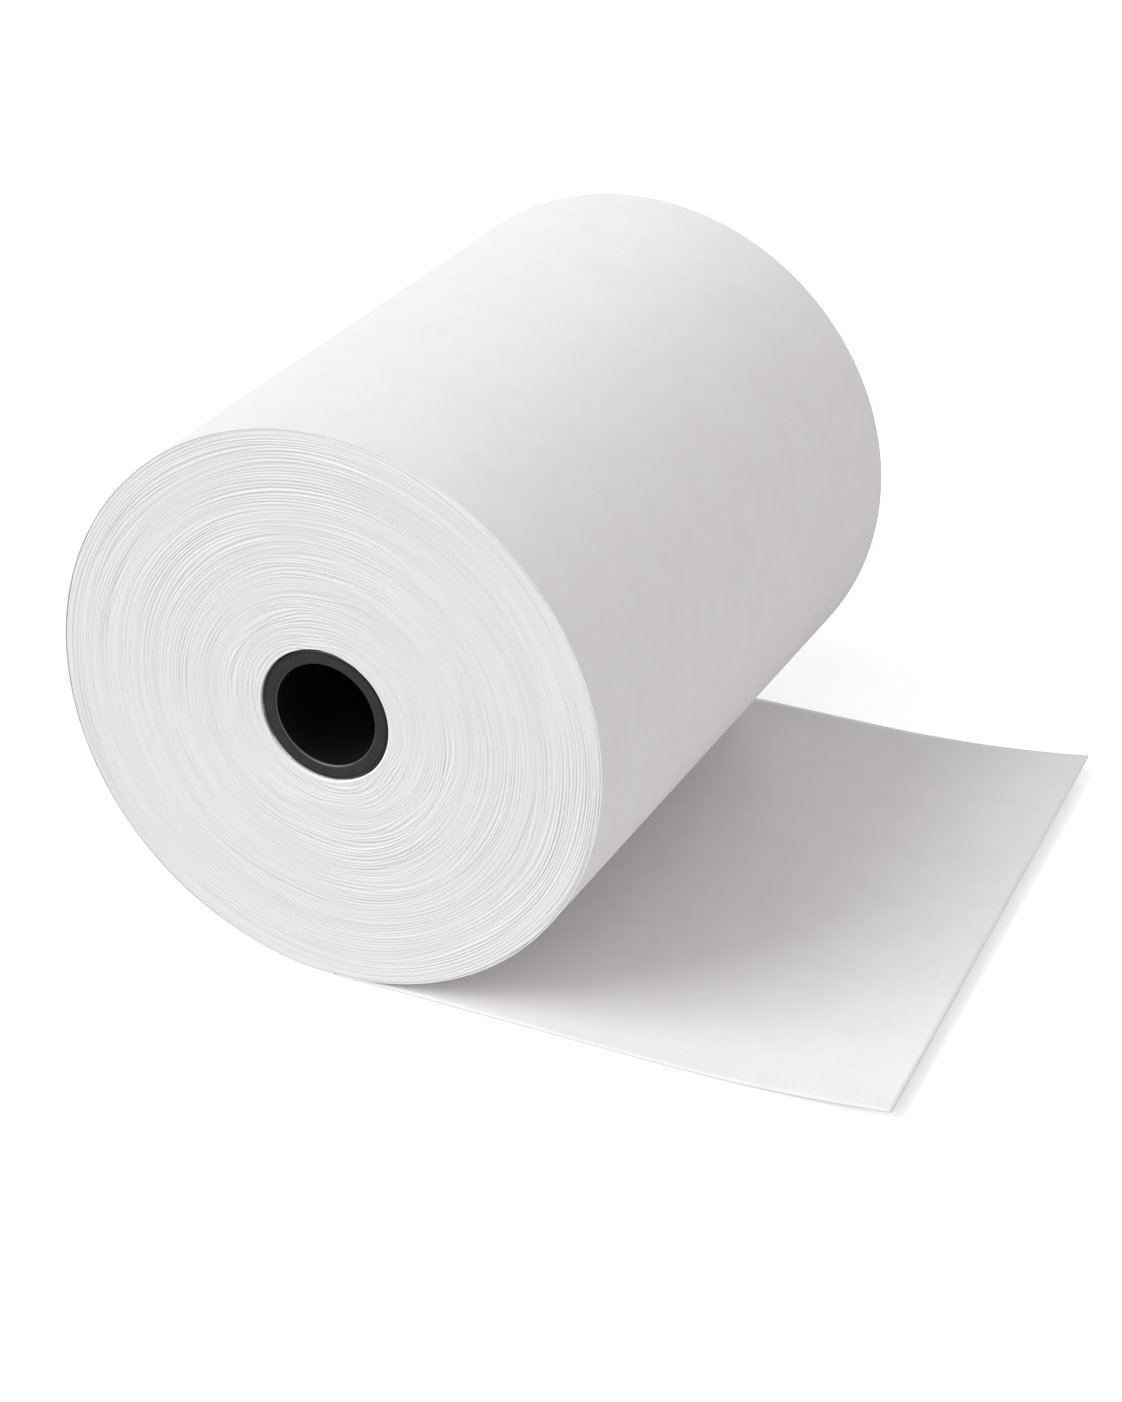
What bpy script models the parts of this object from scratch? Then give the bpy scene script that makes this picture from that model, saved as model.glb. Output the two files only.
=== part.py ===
"""Short paper roll on a plastic core, lying on its side with its loose end run out flat.

Frame: +X is the way the loose sheet runs, +Y is the roll's axis, +Z is up. The origin is on
the surface the roll stands on, under the middle of its axis.
"""
from math import cos, pi, radians, sin

import bmesh
import bpy
from mathutils import Vector

# Driving dimensions, in metres.
GAP = 0.0003                  # clearance between pieces that touch
PAPER = 0.0003                # thickness of the loose sheet as a solid
TURN = 0.0004                 # thickness of the outermost turn as a solid
ROLL_RADIUS = 0.0397          # to the outside of the outermost turn
ROLL_WIDTH = 0.099
CORE_OUTER = 0.00935
CORE_INNER = 0.00735
CORE_WIDTH = 0.0986
CORE_CHAMFER = 0.0006         # inside edge of each mouth
CORE_EDGE = 0.00025           # outside edge of each end
SLACK_RADIUS = 0.0364         # tight windings end here and the slack ones begin
GLUE_ARC = radians(50)        # arc of core that the web's inner end is stuck to
GLUE_WIDTH = 0.090
SEAM = radians(4)             # slot between the two ends of the outermost turn

SHEET_START = -0.006          # the sheet begins a little behind the line of contact
SHEET_FRONT = 0.0808          # free end of the sheet at its front corner
SHEET_BACK = 0.0756           # and at its back corner
FLAT_FRONT = 0.048            # the sheet lies flat as far as this, at the front
FLAT_BACK = 0.042             # and at the back
LIFT_FRONT = 0.0022           # rise of the free end's front corner
LIFT_BACK = 0.0028            # rise of its back corner

AXIS_HEIGHT = PAPER + GAP + ROLL_RADIUS
SEGMENTS = 120
CORE_SEGMENTS = 64


def clear_scene():
    for thing in list(bpy.data.objects):
        bpy.data.objects.remove(thing, do_unlink=True)


def material(name, colour, roughness):
    """A plain Principled material."""
    made = bpy.data.materials.new(name)
    made.use_nodes = True
    shader = made.node_tree.nodes["Principled BSDF"]
    shader.inputs["Base Color"].default_value = (*colour, 1.0)
    shader.inputs["Roughness"].default_value = roughness
    shader.inputs["Metallic"].default_value = 0.0
    return made


def empty(name, place, parent=None):
    """An empty that stands on a joint's axis."""
    made = bpy.data.objects.new(name, None)
    made.location = place
    made.parent = parent
    bpy.context.collection.objects.link(made)
    return made


def add_object(name, shape, finish, parent=None):
    """Make a named object from a bmesh, with its faces pointing out."""
    bmesh.ops.recalc_face_normals(shape, faces=shape.faces)
    mesh = bpy.data.meshes.new(name)
    shape.to_mesh(mesh)
    shape.free()
    mesh.shade_smooth()
    mesh.set_sharp_from_angle(angle=radians(30))
    made = bpy.data.objects.new(name, mesh)
    made.parent = parent
    bpy.context.collection.objects.link(made)
    if finish:
        mesh.materials.append(finish)
    return made


def turned_ring(profile, segments):
    """Spin a closed outline of (radius, y) points about the Y axis."""
    shape = bmesh.new()
    corners = [shape.verts.new((r, y, 0.0)) for r, y in profile]
    edges = [shape.edges.new((a, b)) for a, b in zip(corners, corners[1:] + corners[:1])]
    bmesh.ops.spin(shape, geom=corners + edges, cent=(0, 0, 0), axis=(0, 1, 0),
                   angle=2 * pi, steps=segments, use_merge=True)
    return shape


def annulus(inner, outer, width):
    """Outline of a plain ring, for turned_ring."""
    half = width / 2
    return [(inner, -half), (outer, -half), (outer, half), (inner, half)]


def arc_strip(inner, outer, width, start, sweep, steps):
    """A curved bar: one rectangle carried round the Y axis, clockwise seen from the front."""
    shape = bmesh.new()
    half = width / 2
    loops = []
    for step in range(steps + 1):
        angle = start + sweep * step / steps
        out = Vector((-sin(angle), 0.0, -cos(angle)))
        section = ((inner, -half), (outer, -half), (outer, half), (inner, half))
        loops.append([shape.verts.new(out * r + Vector((0, y, 0))) for r, y in section])
    for a, b in zip(loops, loops[1:]):
        for i in range(4):
            shape.faces.new((a[i], a[(i + 1) % 4], b[(i + 1) % 4], b[i]))
    shape.faces.new(loops[0])
    shape.faces.new(loops[-1])
    return shape


def core_tube(finish, axis):
    half = CORE_WIDTH / 2
    profile = [
        (CORE_INNER, -half + CORE_CHAMFER), (CORE_INNER + CORE_CHAMFER, -half),
        (CORE_OUTER - CORE_EDGE, -half), (CORE_OUTER, -half + CORE_EDGE),
        (CORE_OUTER, half - CORE_EDGE), (CORE_OUTER - CORE_EDGE, half),
        (CORE_INNER + CORE_CHAMFER, half), (CORE_INNER, half - CORE_CHAMFER),
    ]
    return add_object("core_tube", turned_ring(profile, CORE_SEGMENTS), finish, axis)


def glue_strip(finish, axis):
    """The adhesive strip that holds the web's inner end on the core."""
    inner = CORE_OUTER + GAP
    shape = arc_strip(inner, inner + PAPER, GLUE_WIDTH, -GLUE_ARC / 2, GLUE_ARC, 8)
    return add_object("core_glue_strip", shape, finish, axis)


def glue_pocket(axis):
    """Cutter for the shallow pocket that the strip lies in."""
    margin = GAP / CORE_OUTER
    shape = arc_strip(CORE_OUTER - GAP, CORE_OUTER + PAPER + 2 * GAP, GLUE_WIDTH + 2 * GAP,
                      -GLUE_ARC / 2 - margin, GLUE_ARC + 2 * margin, 8)
    cutter = add_object("glue_pocket", shape, None, axis)
    cutter.hide_render = True
    cutter.display_type = "WIRE"
    return cutter


def tight_windings(finish, axis):
    """Most of the web, wound hard on the core."""
    outline = annulus(CORE_OUTER + GAP, SLACK_RADIUS, ROLL_WIDTH)
    wound = add_object("tight_windings", turned_ring(outline, SEGMENTS), finish, axis)
    cut = wound.modifiers.new("glue_pocket", "BOOLEAN")
    cut.operation = "DIFFERENCE"
    cut.solver = "EXACT"
    cut.object = glue_pocket(axis)
    return wound


def slack_windings(finish, axis):
    """The last turns but one, which lie a little looser and stand as a ring of their own."""
    outline = annulus(SLACK_RADIUS + GAP, ROLL_RADIUS - TURN - GAP, ROLL_WIDTH)
    return add_object("slack_windings", turned_ring(outline, SEGMENTS), finish, axis)


def outer_turn(finish, axis):
    """The last turn, from the line of contact up the left side, over the top and down."""
    shape = arc_strip(ROLL_RADIUS - TURN, ROLL_RADIUS, ROLL_WIDTH, 0.0, 2 * pi - SEAM, SEGMENTS)
    return add_object("outer_turn", shape, finish, axis)


def sheet_height(x, across):
    """Height of the sheet's underside; across is 0 at the front edge and 1 at the back."""
    flat = FLAT_FRONT + (FLAT_BACK - FLAT_FRONT) * across
    end = SHEET_FRONT + (SHEET_BACK - SHEET_FRONT) * across
    lift = LIFT_FRONT + (LIFT_BACK - LIFT_FRONT) * across
    along = max(0.0, (x - flat) / (end - flat))
    return lift * along ** 2


def loose_sheet(finish):
    """The run-out end of the web, flat on the table and curling up towards its free end."""
    columns, rows = 16, 4
    shape = bmesh.new()
    bmesh.ops.create_grid(shape, x_segments=columns, y_segments=rows, size=0.5)
    for corner in shape.verts:
        along, across = corner.co.x + 0.5, corner.co.y + 0.5
        end = SHEET_FRONT + (SHEET_BACK - SHEET_FRONT) * across
        # Two long flat columns, then short ones where the sheet curls.
        flat = FLAT_FRONT + (FLAT_BACK - FLAT_FRONT) * across
        curl = (along * columns - 2) / (columns - 2)
        x = flat + (end - flat) * curl if curl > 0 else SHEET_START + (flat - SHEET_START) * (
            along * columns / 2)
        corner.co = (x, (across - 0.5) * ROLL_WIDTH, sheet_height(x, across))
    lower = list(shape.faces)
    upper = bmesh.ops.extrude_face_region(shape, geom=lower)["geom"]
    raised = [item for item in upper if isinstance(item, bmesh.types.BMVert)]
    bmesh.ops.translate(shape, verts=raised, vec=(0, 0, PAPER))
    return add_object("loose_sheet", shape, finish)


def main():
    clear_scene()
    paper = material("white_paper", (0.83, 0.83, 0.84), 0.85)
    plastic = material("black_plastic", (0.03, 0.03, 0.028), 0.45)
    adhesive = material("clear_adhesive", (0.75, 0.72, 0.62), 0.5)
    travel = empty("roll_travel", (0, 0, AXIS_HEIGHT))
    axis = empty("roll_axis", (0, 0, 0), travel)
    loose_sheet(paper)
    outer_turn(paper, travel)
    slack_windings(paper, axis)
    tight_windings(paper, axis)
    glue_strip(adhesive, axis)
    core_tube(plastic, axis)


main()
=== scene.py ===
"""The look of a short paper roll lying on its side, with its loose end run out flat.

Frame: +X is the way the loose sheet runs, +Y the roll's axis, +Z up, in metres.
"""
from math import cos, pi, radians, sin

import bpy
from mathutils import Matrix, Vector, noise


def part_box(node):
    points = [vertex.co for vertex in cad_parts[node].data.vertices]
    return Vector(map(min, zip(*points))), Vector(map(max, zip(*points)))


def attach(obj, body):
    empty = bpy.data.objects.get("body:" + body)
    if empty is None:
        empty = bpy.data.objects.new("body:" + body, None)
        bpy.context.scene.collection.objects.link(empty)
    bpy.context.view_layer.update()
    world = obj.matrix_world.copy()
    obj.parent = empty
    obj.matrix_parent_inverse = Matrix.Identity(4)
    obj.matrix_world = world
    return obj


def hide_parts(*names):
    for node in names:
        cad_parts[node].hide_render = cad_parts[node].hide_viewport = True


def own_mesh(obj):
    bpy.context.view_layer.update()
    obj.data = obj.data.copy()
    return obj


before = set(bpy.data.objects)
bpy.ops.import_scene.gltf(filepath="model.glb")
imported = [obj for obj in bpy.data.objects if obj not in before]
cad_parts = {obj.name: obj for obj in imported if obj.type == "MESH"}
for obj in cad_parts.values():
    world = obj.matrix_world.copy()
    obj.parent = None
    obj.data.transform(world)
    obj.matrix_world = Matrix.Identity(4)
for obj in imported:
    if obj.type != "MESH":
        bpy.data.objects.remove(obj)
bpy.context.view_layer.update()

# Places and sizes read from the frame.
turn_low, turn_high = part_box("outer_turn")
core_low, core_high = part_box("core_tube")
_, sheet_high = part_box("loose_sheet")
AXIS_Z = (turn_low.z + turn_high.z) / 2
HALF_WIDTH = (turn_high.y - turn_low.y) / 2
CORE_RADIUS = (core_high.z - core_low.z) / 2
CORE_HALF = (core_high.y - core_low.y) / 2

# Finer sizes, which the solids don't hold.
PAPER = 0.00018                       # thickness that the paper's edge shows
ROLL_RADIUS = AXIS_Z - PAPER          # the roll rests on its own sheet
WOUND_RADIUS = ROLL_RADIUS - PAPER
BORE_RADIUS = 0.00735
SLACK_FROM = 0.034                    # outside this radius the turns lie looser
SHEET_START = -0.0006                 # the sheet reaches back past the line of contact
SHEET_BACK_END = 0.0756               # the free end is cut a little out of square
FLAT_FRONT, FLAT_BACK = 0.048, 0.042  # the sheet lies flat as far as this
LIFT_FRONT, LIFT_BACK = 0.0022, 0.0028  # and its free end curls up to this height

# Relief of the cut edges at the roll's ends. Each row has the pitch along the radius, how much
# the pattern changes round the roll, and its size.
RIDGES = ((0.0003, 2.4, 0.000040), (0.0006, 1.7, 0.000034), (0.0014, 1.2, 0.000040))
BROAD_BANDS = (0.0042, 0.7, 0.00003)
SLACK_GROOVES = (0.0007, 0.9, 0.00007)
ROUGH_PATCHES = (0.0022, 1.8, 0.9)            # a share of the ridges' height
TURN_DRIFT = (0.0016, 1.6, 1.3)               # in turns
TURN_PITCH, TURN_HEIGHT = 0.00047, 0.000030   # a few turns of paper move together

# Materials -------------------------------------------------------------------


class Nodes:
    """Builds a Principled material's node tree."""

    def __init__(self, name, roughness, specular=0.5):
        self.material = bpy.data.materials.new(name)
        self.material.use_nodes = True
        self.tree = self.material.node_tree
        self.shader = self.tree.nodes["Principled BSDF"]
        self.shader.inputs["Roughness"].default_value = roughness
        self.shader.inputs["Specular IOR Level"].default_value = specular
        self.place = self.add("ShaderNodeTexCoord").outputs["Object"]

    def add(self, kind, **settings):
        node = self.tree.nodes.new(kind)
        for key, value in settings.items():
            setattr(node, key, value)
        return node

    def link(self, source, target):
        self.tree.links.new(source, target)

    def noise(self, scale, detail=3.0, roughness=0.5, vector=None):
        """Noise with about scale features to the metre, or to one unit of vector."""
        node = self.add("ShaderNodeTexNoise")
        node.inputs["Scale"].default_value = scale
        node.inputs["Detail"].default_value = detail
        node.inputs["Roughness"].default_value = roughness
        self.link(vector or self.place, node.inputs["Vector"])
        return node.outputs["Fac"]

    def math(self, operation, a, b=0.0):
        node = self.add("ShaderNodeMath", operation=operation)
        for value, socket in ((a, node.inputs[0]), (b, node.inputs[1])):
            if isinstance(value, (int, float)):
                socket.default_value = value
            else:
                self.link(value, socket)
        return node.outputs[0]

    def spread(self, source, low, high, out_low=0.0, out_high=1.0):
        """Carry low..high over to out_low..out_high."""
        node = self.add("ShaderNodeMapRange")
        for key, value in (("From Min", low), ("From Max", high),
                           ("To Min", out_low), ("To Max", out_high)):
            node.inputs[key].default_value = value
        self.link(source, node.inputs["Value"])
        return node.outputs["Result"]

    def across(self):
        """The place's x and z, square to the roll's axis."""
        parts = self.add("ShaderNodeSeparateXYZ")
        self.link(self.place, parts.inputs[0])
        x, _, z = parts.outputs
        return x, z

    def radius(self):
        """Distance from the roll's axis."""
        x, z = self.across()
        return self.math("SQRT", self.math("ADD", self.math("MULTIPLY", x, x),
                                           self.math("MULTIPLY", z, z)))

    def turn(self):
        """Angle round the roll's axis, in radians."""
        x, z = self.across()
        return self.math("ARCTAN2", z, x)

    def blend(self, share, first, second):
        """Mix two colours, each either three numbers or another node's output."""
        node = self.add("ShaderNodeMix", data_type="RGBA")
        for colour, socket in ((first, node.inputs[6]), (second, node.inputs[7])):
            if isinstance(colour, tuple):
                socket.default_value = (*colour, 1.0)
            else:
                self.link(colour, socket)
        self.link(share, node.inputs[0])
        return node.outputs[2]

    def colour(self, source):
        self.link(source, self.shader.inputs["Base Color"])

    def bump(self, height, distance, strength=1.0):
        node = self.add("ShaderNodeBump")
        node.inputs["Distance"].default_value = distance
        node.inputs["Strength"].default_value = strength
        self.link(height, node.inputs["Height"])
        self.link(node.outputs["Normal"], self.shader.inputs["Normal"])


def paper_face():
    """Uncoated white paper: cloudy formation, fine fibres and a little tooth."""
    n = Nodes("paper_face", 0.82, 0.25)
    thick, thin = (0.765, 0.748, 0.756), (0.795, 0.782, 0.788)
    cloud = n.noise(170.0, 3.0, 0.6)
    fibre = n.noise(2600.0, 4.0, 0.7)
    tone = n.math("ADD", n.math("MULTIPLY", cloud, 0.6), n.math("MULTIPLY", fibre, 0.4))
    n.colour(n.blend(n.spread(tone, 0.35, 0.65), thick, thin))
    n.bump(n.math("ADD", fibre, n.math("MULTIPLY", cloud, 1.5)), 0.00002, 0.35)
    return n.material


def paper_edge():
    """Cut edges of the wound web: grey and white rings that come and go round the roll, the grey
    partly painted shade.

    A painted highlight makes the turns next to the core look whitest."""
    n = Nodes("paper_edge", 0.85, 0.2)
    grey, white, highlight_white = (0.70, 0.685, 0.70), (0.795, 0.785, 0.795), (0.93, 0.93, 0.93)
    radius, turn = n.radius(), n.turn()
    drift = n.math("MULTIPLY", n.noise(60.0, 2.0, 0.5), 0.0012)
    warped = n.math("ADD", radius, drift)

    def rings(scale, sweep, detail):
        """Noise that changes quickly along the radius and slowly round it."""
        gather = n.add("ShaderNodeCombineXYZ")
        n.link(n.math("MULTIPLY", warped, scale), gather.inputs[0])
        n.link(n.math("MULTIPLY", n.math("COSINE", turn), sweep), gather.inputs[1])
        n.link(n.math("MULTIPLY", n.math("SINE", turn), sweep), gather.inputs[2])
        return n.noise(1.0, detail, 0.6, gather.outputs[0])

    fine = rings(2300.0, 1.3, 3.0)
    band = rings(420.0, 0.8, 2.0)
    tone = n.math("ADD", n.math("MULTIPLY", fine, 0.7), n.math("MULTIPLY", band, 0.3))
    # The grey rings are partly the paper edges' own tone and partly painted shade between the turns.
    ring_tone_and_shade = n.blend(n.spread(tone, 0.32, 0.68), grey, white)
    # Painted highlight: the turns next to the core are painted whitest, for light caught on the ring
    # round the core.
    core_highlight = n.spread(radius, CORE_RADIUS + 0.0002, CORE_RADIUS + 0.0005, 1.0, 0.0)
    n.colour(n.blend(core_highlight, ring_tone_and_shade, highlight_white))
    grain = n.math("MULTIPLY", n.noise(3500.0, 2.0, 0.6), 0.25)
    n.bump(n.math("ADD", fine, grain), 0.00003, 0.3)
    return n.material


def core_plastic():
    """Satin black plastic with scuffs; painted highlight at the mouth, painted shade at the outer
    edge.
    """
    n = Nodes("core_plastic", 0.38, 0.5)
    black, scuffed = (0.011, 0.011, 0.0095), (0.020, 0.020, 0.0175)
    highlight_grey, shade_black = (0.10, 0.10, 0.095), (0.002, 0.002, 0.002)
    satin = n.blend(n.spread(n.noise(700.0, 4.0, 0.65), 0.35, 0.7), black, scuffed)
    # Painted highlight: a paler ring round the mouth of the bore, where its chamfer catches the
    # light.
    mouth = n.spread(n.radius(), BORE_RADIUS + 0.00008, BORE_RADIUS + 0.00018, 1.0, 0.0)
    # Painted shade: the rim's outer edge is painted near black for the shade in the gap beside the
    # paper.
    outside = n.spread(n.radius(), CORE_RADIUS - 0.00048, CORE_RADIUS - 0.00038)
    n.colour(n.blend(outside, n.blend(mouth, satin, highlight_grey), shade_black))
    gloss = n.spread(n.noise(1500.0, 3.0, 0.6), 0.3, 0.7, 0.32, 0.5)
    n.link(gloss, n.shader.inputs["Roughness"])
    n.bump(n.noise(2200.0, 3.0, 0.6), 0.00002, 0.25)
    return n.material


def bore_painted_shade():
    """Inside the bore: the plastic left dull and painted darker than the rest as painted shade, with
    faint lines along it.
    """
    n = Nodes("bore_painted_shade", 0.75, 0.1)
    # Painted shade: both tones are darker than the rest of the tube, for the shade deep in the bore.
    shade_black, pale = (0.003, 0.003, 0.003), (0.006, 0.006, 0.0055)
    stretch = n.add("ShaderNodeMapping")
    stretch.inputs["Scale"].default_value = (1.0, 0.03, 1.0)
    n.link(n.place, stretch.inputs["Vector"])
    lines = n.noise(1800.0, 2.0, 0.5, stretch.outputs[0])
    n.colour(n.blend(lines, shade_black, pale))
    n.bump(lines, 0.00002, 0.3)
    return n.material


def adhesive():
    """Clear glue gone slightly yellow, with a streaky surface."""
    n = Nodes("adhesive_film", 0.4, 0.5)
    yellow, clear = (0.66, 0.62, 0.50), (0.80, 0.77, 0.66)
    streak = n.noise(500.0, 3.0, 0.6)
    n.colour(n.blend(streak, yellow, clear))
    n.bump(streak, 0.00003, 0.4)
    return n.material


# Mesh helpers ----------------------------------------------------------------


def add_piece(name, points, faces, finishes, origin=(0, 0, 0), sharp=radians(40)):
    """A smooth-shaded mesh object; points are relative to origin."""
    mesh = bpy.data.meshes.new(name)
    mesh.from_pydata(points, [], faces)
    for finish in finishes:
        mesh.materials.append(finish)
    mesh.shade_smooth()
    mesh.set_sharp_from_angle(angle=sharp)
    mesh.validate()
    made = bpy.data.objects.new(name, mesh)
    made.location = origin
    bpy.context.scene.collection.objects.link(made)
    return made


def turned(profile, segments, relief=None):
    """Points and faces of a closed outline of (radius, y) carried round the Y axis.

    The outline runs clockwise, seen with y to the right and radius up."""
    angles = [2 * pi * i / segments for i in range(segments)]
    points = []
    for radius, y in profile:
        for angle in angles:
            shift = relief(radius, angle, y) if relief else 0.0
            points.append((radius * cos(angle), y + shift, radius * sin(angle)))
    count = len(profile)
    faces = []
    for j in range(count):
        a, b = j * segments, (j + 1) % count * segments
        for i in range(segments):
            k = (i + 1) % segments
            faces.append((a + i, a + k, b + k, b + i))
    return points, faces


def ring_noise(radius, angle, pitch, sweep, seed):
    """Noise with ridges about pitch apart along the radius, which drift slowly round the roll."""
    place = Vector((radius / pitch, sweep * cos(angle) + seed, sweep * sin(angle) - seed))
    return noise.noise(place)


def end_relief(radius, angle, y):
    """How far the edge of a turn stands out of (or sinks into) the flat end.

    The numbers added to seed only keep the patterns apart."""
    face_depth, wander_size = 0.0004, 0.0005
    patch_mean, patch_least, slack_gain, groove_floor = 0.8, 0.3, 0.5, 0.12
    if abs(y) < HALF_WIDTH - face_depth:
        return 0.0
    side = 1.0 if y > 0 else -1.0
    seed = 7.3 * side
    slack = max(0.0, (radius - SLACK_FROM) / (WOUND_RADIUS - SLACK_FROM))
    wave = noise.noise(Vector((1.5 * cos(angle), 1.5 * sin(angle), radius * 70 + seed)))
    wander = radius + wander_size * wave

    def pattern(row, place, offset):
        pitch, sweep, size = row
        return size * ring_noise(place, angle, pitch, sweep, seed + offset)

    patch = patch_mean + pattern(ROUGH_PATCHES, radius, 3)
    drift = pattern(TURN_DRIFT, radius, 57)
    height = TURN_HEIGHT * sin(2 * pi * (wander / TURN_PITCH + drift) - angle)
    for step, row in enumerate(RIDGES):
        height += pattern(row, wander, 11 * step)
    height *= max(patch_least, patch) * (1 + slack_gain * slack)
    height += pattern(BROAD_BANDS, wander, 23)
    groove_pitch, groove_sweep, groove_depth = SLACK_GROOVES
    groove = ring_noise(wander, angle, groove_pitch, groove_sweep, seed + 41)
    height -= groove_depth * slack * max(0.0, groove - groove_floor)
    return side * height


# Pieces ----------------------------------------------------------------------


def wound_paper(finish):
    """All the turns but the last, as one ring with the relief of its cut edges."""
    round_over, gap = 0.00012, 0.00018
    ring_step, segments, wall_rows = 0.00009, 300, 10
    inner = CORE_RADIUS + gap
    reach = WOUND_RADIUS - inner - 2 * round_over
    count = int(reach / ring_step)
    face = [inner + round_over + reach * i / count for i in range(count + 1)]
    wall = [HALF_WIDTH * (2 * i / wall_rows - 1) for i in range(1, wall_rows)]
    front = [(r, -HALF_WIDTH) for r in face]
    outer = [(WOUND_RADIUS, -HALF_WIDTH + round_over)] + [(WOUND_RADIUS, y) for y in wall]
    outer += [(WOUND_RADIUS, HALF_WIDTH - round_over)]
    back = [(r, HALF_WIDTH) for r in reversed(face)]
    # Between its two lips the bore is wider, to leave room for the strip of adhesive.
    hollow, lip, slope = 0.00075, 0.003, 0.0038
    bore = [(inner, HALF_WIDTH - round_over), (inner, HALF_WIDTH - lip),
            (inner + hollow, HALF_WIDTH - slope), (inner + hollow, -HALF_WIDTH + slope),
            (inner, -HALF_WIDTH + lip), (inner, -HALF_WIDTH + round_over)]
    points, faces = turned(front + outer + back + bore, segments, end_relief)
    made = add_piece("wound_paper", points, faces, [finish], (0, 0, AXIS_Z))
    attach(made, "roll")
    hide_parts("tight_windings", "slack_windings")


def last_turn(finish):
    """The outermost turn: from the line of contact up the left side, over the top and down."""
    around, along = 288, 44
    share = 0.998                      # of a whole turn, so that its two ends don't meet
    inside = ROLL_RADIUS - PAPER * 0.9
    ripple_size, sink = 0.00003, 0.4
    points, faces = [], []
    for i in range(around + 1):
        angle = 2 * pi * i / around * share
        for j in range(along + 1):
            y = HALF_WIDTH * (2 * j / along - 1)
            ripple = noise.noise(Vector((1.6 * cos(angle), 1.6 * sin(angle), y * 28)))
            radius = ROLL_RADIUS + ripple_size * (ripple - sink) * sin(angle / 2)
            for r in (radius, inside):
                points.append((-r * sin(angle), y, -r * cos(angle)))
    row = 2 * (along + 1)

    def at(i, j, layer):
        return i * row + 2 * j + layer

    for i in range(around):
        for j in range(along):
            faces.append((at(i, j, 0), at(i + 1, j, 0), at(i + 1, j + 1, 0), at(i, j + 1, 0)))
            faces.append((at(i, j, 1), at(i, j + 1, 1), at(i + 1, j + 1, 1), at(i + 1, j, 1)))
        for j, flip in ((0, False), (along, True)):
            edge = (at(i, j, 0), at(i, j, 1), at(i + 1, j, 1), at(i + 1, j, 0))
            faces.append(edge[::-1] if flip else edge)
    for j in range(along):
        for i, flip in ((0, False), (around, True)):
            edge = (at(i, j, 0), at(i, j + 1, 0), at(i, j + 1, 1), at(i, j, 1))
            faces.append(edge[::-1] if flip else edge)
    made = add_piece("last_turn_paper", points, faces, [finish], (0, 0, AXIS_Z))
    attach(made, "last_turn")
    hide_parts("outer_turn")


def sheet_point(along, across):
    """Underside of the loose sheet; both shares run from 0 to 1.

    It ripples a little, its front edge stands up slightly, and it settles flat at the roll."""
    ripple_size, edge_lift, edge_width, settle_length = 0.00009, 0.00007, 0.0012, 0.008
    end = sheet_high.x + (SHEET_BACK_END - sheet_high.x) * across
    flat = FLAT_FRONT + (FLAT_BACK - FLAT_FRONT) * across
    lift = LIFT_FRONT + (LIFT_BACK - LIFT_FRONT) * across
    x = SHEET_START + (end - SHEET_START) * along
    curl = max(0.0, (x - flat) / (end - flat))
    y = HALF_WIDTH * (2 * across - 1)
    ripple = ripple_size * (noise.noise(Vector((x * 45, y * 30, 3.1))) + 0.6)
    edge = edge_lift * max(0.0, 1 - (y + HALF_WIDTH) / edge_width) ** 2
    settle = min(1.0, max(0.0, x / settle_length))
    return x, y, lift * curl ** 2 + (max(0.0, ripple) + edge) * settle


def loose_sheet(finish):
    """The run-out end of the web, built lying out; the real sheet is wound up from its inner end as
    the roll travels.
    """
    columns, rows = 110, 100
    points, faces = [], []
    for j in range(rows + 1):
        for i in range(columns + 1):
            points.append(sheet_point(i / columns, j / rows))
    for j in range(rows):
        for i in range(columns):
            a = j * (columns + 1) + i
            faces.append((a, a + 1, a + columns + 2, a + columns + 1))
    made = add_piece("loose_paper", points, faces, [finish])
    solid = made.modifiers.new("thickness", "SOLIDIFY")
    solid.thickness = PAPER
    solid.offset = 1.0
    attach(made, "sheet")
    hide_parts("loose_sheet")
    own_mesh(made)


def core(finish, bore_shade_finish):
    """The plastic tube: a flat rim with a rounded outer edge and a chamfered mouth."""
    edge, chamfer, recess = 0.00028, 0.00025, 0.00005
    segments, rim_steps = 160, 5
    half = CORE_HALF - recess
    flat_from = BORE_RADIUS + chamfer
    flat_width = CORE_RADIUS - edge - BORE_RADIUS - chamfer

    def rim(side):
        """From the bore's mouth out to the outside, at one end."""
        turned_edge = [(CORE_RADIUS - edge * (1 - sin(a)), half - edge * (1 - cos(a)))
                       for a in (radians(d) for d in (0, 22, 45, 68, 90))]
        # The chamfer bulges a little between its two ends.
        mouth = [(BORE_RADIUS, half - chamfer), (BORE_RADIUS + 0.00006, half - chamfer + 0.0001),
                 (BORE_RADIUS + chamfer * 0.75, half - 0.00004), (flat_from, half)]
        middle = [(flat_from + flat_width * k / rim_steps, half) for k in range(1, rim_steps)]
        return [(r, side * y) for r, y in mouth + middle + turned_edge]

    wall = [(CORE_RADIUS, y * half) for y in (-0.6, -0.2, 0.2, 0.6)]
    bore = [(BORE_RADIUS, y * half) for y in (0.9, 0.6, 0.2, -0.2, -0.6, -0.9)]
    profile = rim(-1) + wall + rim(1)[::-1] + bore
    points, faces = turned(profile, segments)
    made = add_piece("core", points, faces, [finish, bore_shade_finish], (0, 0, AXIS_Z), radians(50))
    tolerance = 0.00001
    for face in made.data.polygons:
        centre = face.center
        radius = (centre.x ** 2 + centre.z ** 2) ** 0.5
        if radius < BORE_RADIUS + tolerance:
            face.material_index = 1
    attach(made, "roll")
    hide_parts("core_tube")


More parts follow.
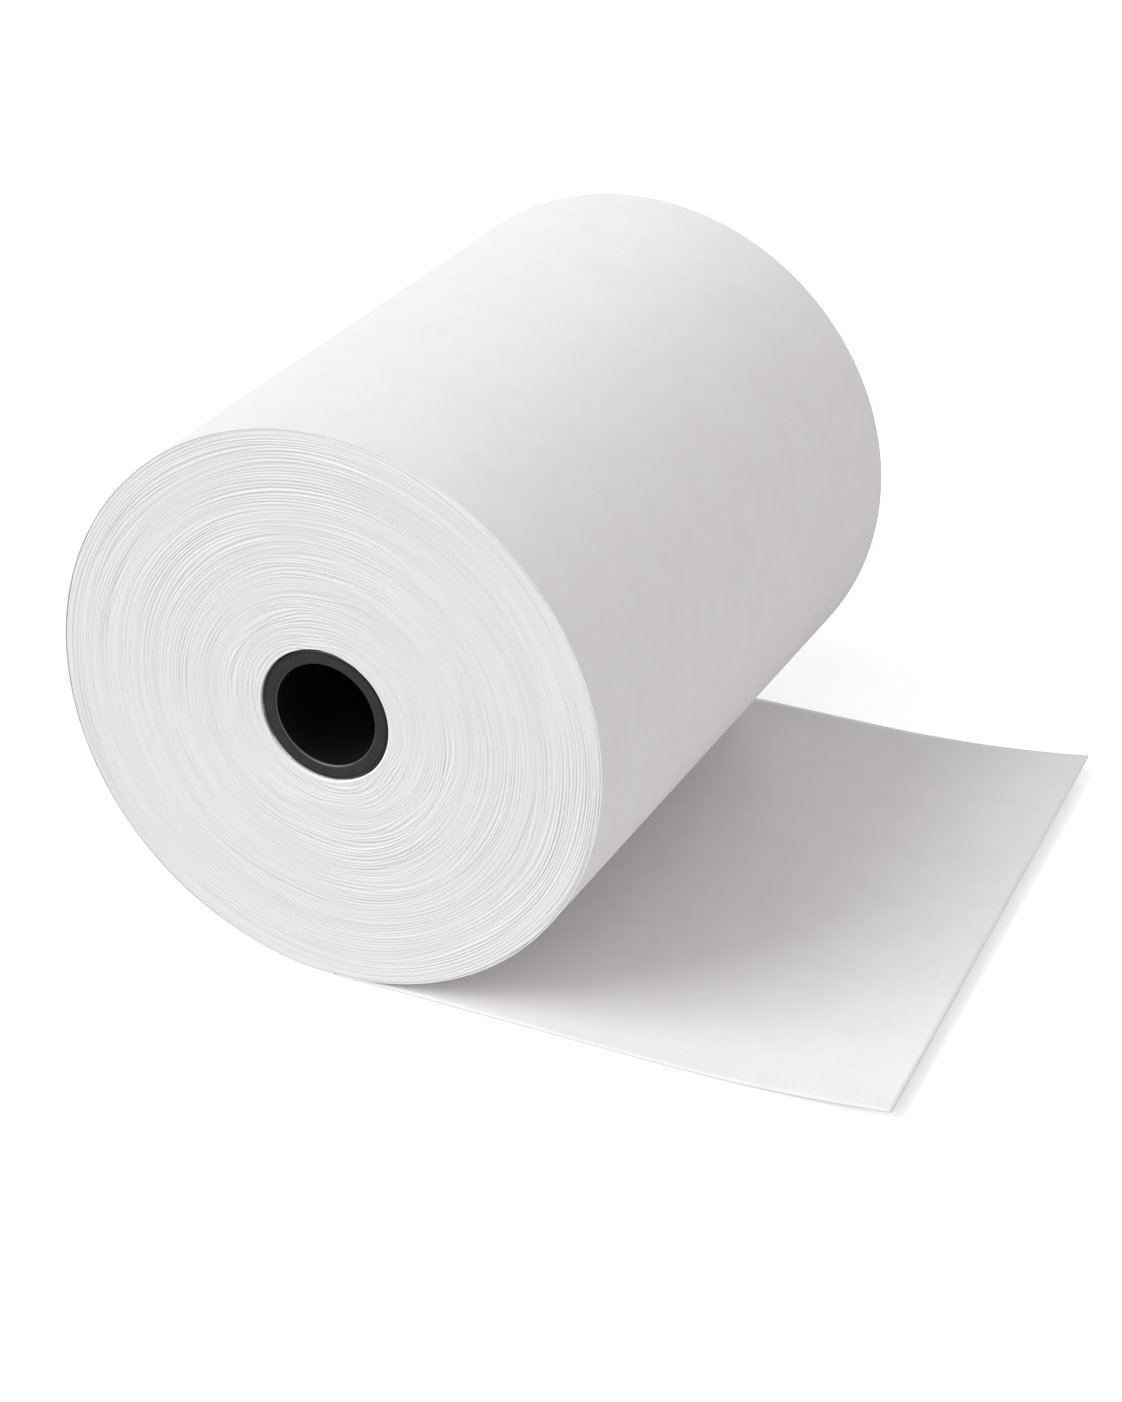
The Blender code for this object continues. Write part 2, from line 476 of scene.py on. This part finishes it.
def glue(finish):
    """The adhesive strip stays as it is in the frame, inside the roll."""
    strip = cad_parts["core_glue_strip"]
    strip.data.materials.clear()
    strip.data.materials.append(finish)


# Stage -----------------------------------------------------------------------

# Each lamp's name, height above the table and turn from +X towards +Y in degrees, energy, colour.
LAMPS = (
    ("key", 40, 225, 2.58, (0.96, 0.98, 1.0)),
    ("front", 40, 270, 0.92, (1.0, 0.97, 0.97)),
    ("top", 65, 180, 0.27, (0.93, 0.96, 1.0)),
    ("right", 15, 0, 1.20, (1.0, 0.96, 0.95)),
    ("back", 15, 90, 1.30, (1.0, 0.98, 0.98)),
    ("back_left", 15, 135, 0.43, (1.0, 0.98, 0.98)),
)
LAMP_SPREAD = radians(45)


def floor():
    """A plain white table top.

    It is greyer to the light that bounces off it than to the camera, because a strong bounce
    from below would wash out the relief of the roll's ends."""
    bounced, seen_white, glow_strength = 0.55, 0.95, 0.45
    size, drop = 3.0, 0.00002          # the drop keeps it clear of the sheet's underside
    n = Nodes("floor", 0.9, 0.0)
    n.shader.inputs["Base Color"].default_value = (bounced, bounced, bounced, 1.0)
    seen = n.add("ShaderNodeBsdfDiffuse")
    seen.inputs["Color"].default_value = (seen_white, seen_white, seen_white, 1.0)
    glow = n.add("ShaderNodeEmission")
    glow.inputs["Strength"].default_value = glow_strength
    whiter = n.add("ShaderNodeAddShader")
    choice = n.add("ShaderNodeMixShader")
    n.link(seen.outputs[0], whiter.inputs[0])
    n.link(glow.outputs[0], whiter.inputs[1])
    n.link(n.add("ShaderNodeLightPath").outputs["Is Camera Ray"], choice.inputs[0])
    n.link(n.shader.outputs[0], choice.inputs[1])
    n.link(whiter.outputs[0], choice.inputs[2])
    n.link(choice.outputs[0], n.tree.nodes["Material Output"].inputs["Surface"])
    corners = [(-size, -size, 0), (size, -size, 0), (size, size, 0), (-size, size, 0)]
    made = add_piece("floor", corners, [(0, 1, 2, 3)], [n.material], (0, 0, -drop))


def sky():
    """A faint glow from all round; the camera sees it as a white studio behind the table."""
    glow_strength = 0.1
    world = bpy.data.worlds.new("sky")
    world.use_nodes = True
    tree = world.node_tree
    glow = tree.nodes["Background"]
    glow.inputs["Strength"].default_value = glow_strength
    white = tree.nodes.new("ShaderNodeBackground")
    seen = tree.nodes.new("ShaderNodeLightPath")
    choice = tree.nodes.new("ShaderNodeMixShader")
    for source, target in ((seen.outputs["Is Camera Ray"], choice.inputs[0]),
                           (glow.outputs[0], choice.inputs[1]),
                           (white.outputs[0], choice.inputs[2]),
                           (choice.outputs[0], tree.nodes["World Output"].inputs["Surface"])):
        tree.links.new(source, target)
    for background in (glow, white):
        background.inputs["Color"].default_value = (1.0, 1.0, 1.0, 1.0)
    bpy.context.scene.world = world


def lights():
    """Broad soft lights: the key from the left and in front, and weaker ones round it."""
    for name, height, turn, energy, colour in LAMPS:
        lamp = bpy.data.lights.new(name, "SUN")
        lamp.energy = energy
        lamp.angle = LAMP_SPREAD
        lamp.color = colour
        made = bpy.data.objects.new(name, lamp)
        flat = cos(radians(height))
        towards = Vector((flat * cos(radians(turn)), flat * sin(radians(turn)), sin(radians(height))))
        made.rotation_mode = "QUATERNION"
        made.rotation_quaternion = towards.to_track_quat("Z", "Y")
        bpy.context.scene.collection.objects.link(made)


def camera():
    """A long lens in front of the roll, a little to its right, looking down at it."""
    place, forward = Vector((0.1847, -0.3603, 0.2359)), Vector((-0.3836, 0.7932, -0.4729))
    lens = bpy.data.cameras.new("camera")
    lens.lens = 80.6
    lens.sensor_width = 36.0
    lens.clip_start, lens.clip_end = 0.01, 20.0
    made = bpy.data.objects.new("camera", lens)
    made.location = place
    made.rotation_mode = "QUATERNION"
    made.rotation_quaternion = (-forward).to_track_quat("Z", "Y")
    bpy.context.scene.collection.objects.link(made)
    bpy.context.scene.camera = made


face_paper = paper_face()
wound_paper(paper_edge())
last_turn(face_paper)
loose_sheet(face_paper)
core(core_plastic(), bore_painted_shade())
glue(adhesive())
floor()
sky()
lights()
camera()
bpy.context.scene.view_settings.view_transform = "Standard"
